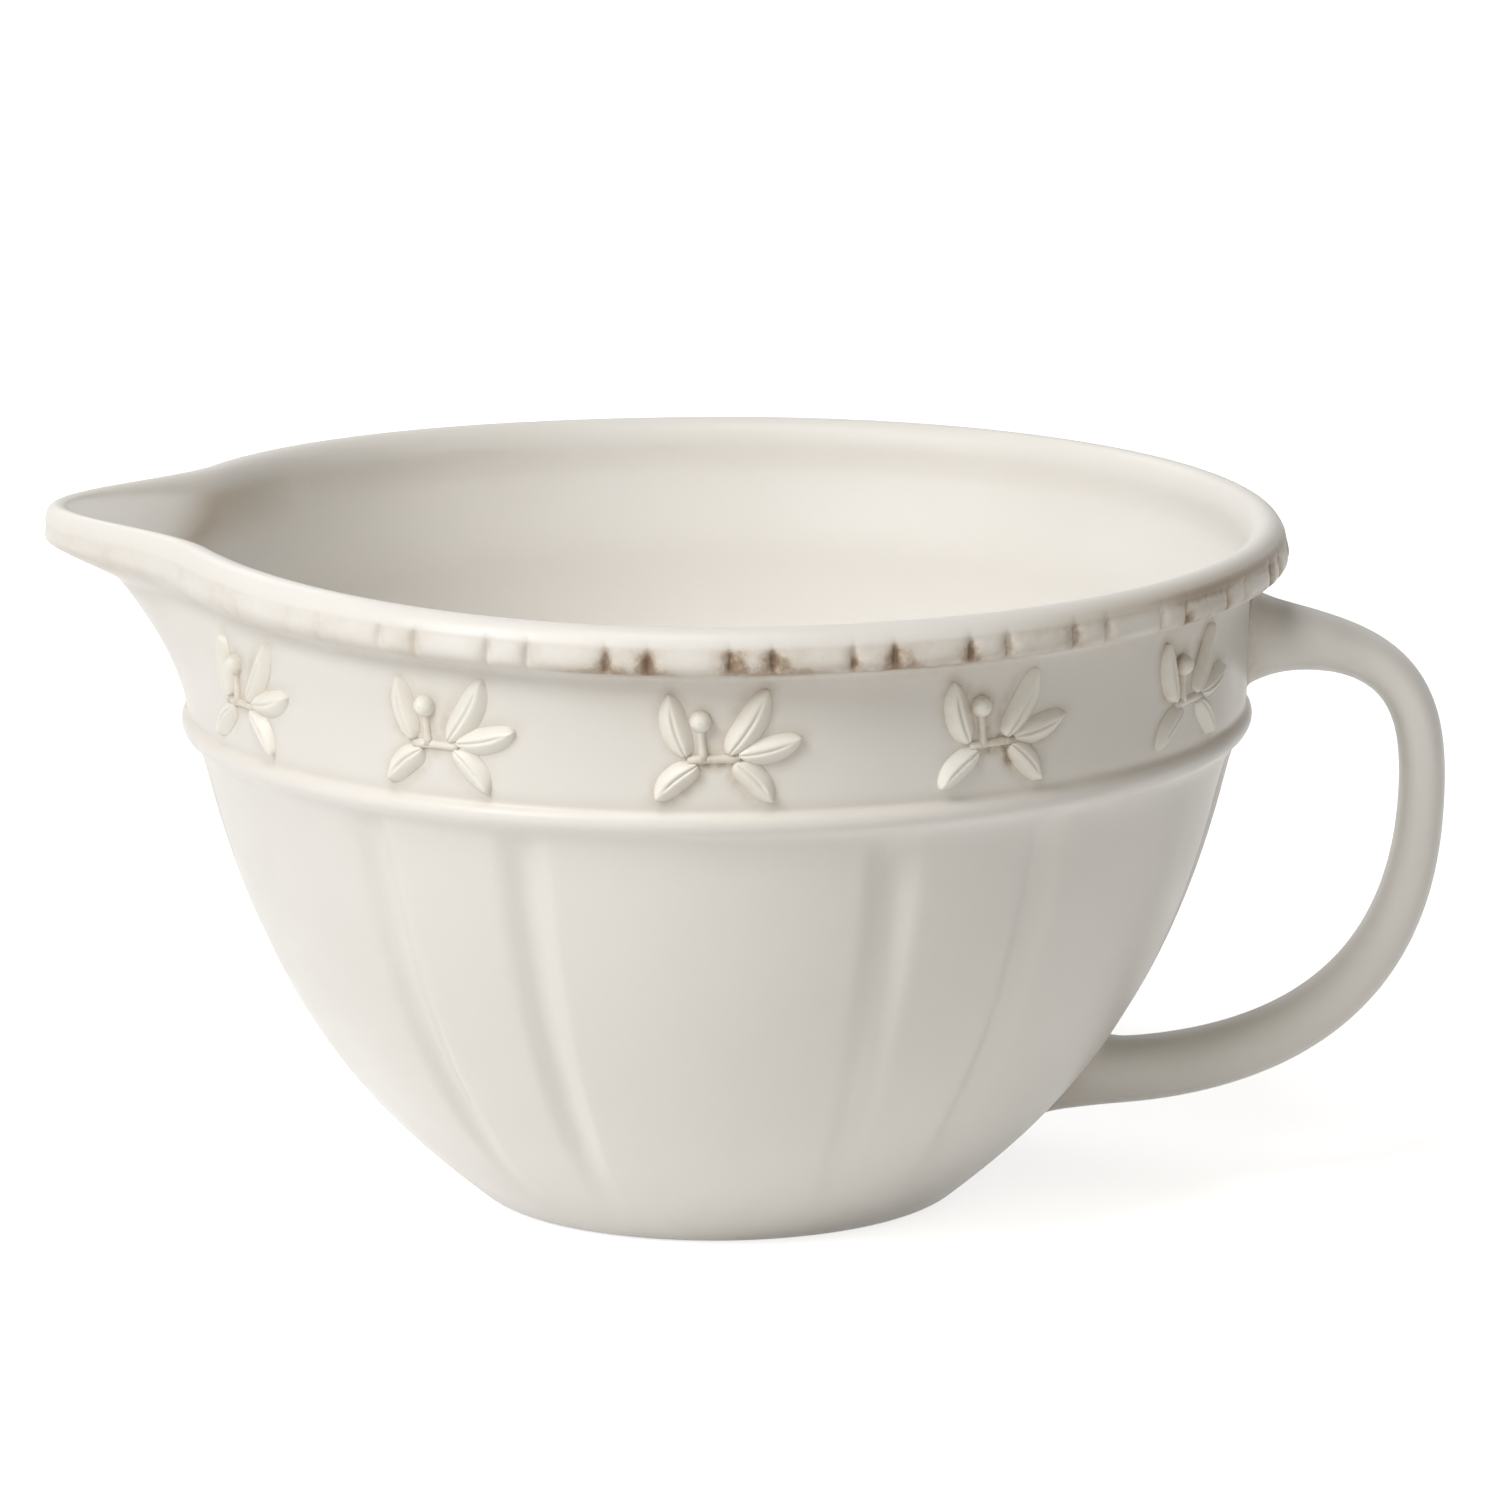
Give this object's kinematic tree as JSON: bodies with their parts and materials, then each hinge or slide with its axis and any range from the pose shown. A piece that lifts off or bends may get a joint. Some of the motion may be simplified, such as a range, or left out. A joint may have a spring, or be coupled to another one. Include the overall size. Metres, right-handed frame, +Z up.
{
  "type": "batter bowl",
  "caption": "Glazed stoneware batter bowl with a pulled pouring spout and a loop handle, for mixing batter and pouring it out.",
  "frame": {"origin": "on the bowl's axis, in the plane that the foot ring stands on", "axes": "+Z up along the bowl's axis, +X towards the handle, -X towards the spout, -Y towards the side that the picture shows"},
  "size_m": [0.2792, 0.228, 0.1406],
  "materials": {
    "glazed_body": "glossy cream glaze, with a thin brown wash that lies in the notches and recesses",
    "sprig_glaze": "the same cream glaze over relief leaves, with the brown wash round their edges"
  },
  "bodies": {
    "root": {"bowl": "glazed_body", "handle": "glazed_body", "sprig_01": "sprig_glaze", "sprig_02": "sprig_glaze", "sprig_03": "sprig_glaze", "sprig_04": "sprig_glaze", "sprig_05": "sprig_glaze", "sprig_06": "sprig_glaze", "sprig_07": "sprig_glaze", "sprig_08": "sprig_glaze", "sprig_09": "sprig_glaze", "sprig_10": "sprig_glaze"}
  },
  "joints": []
}
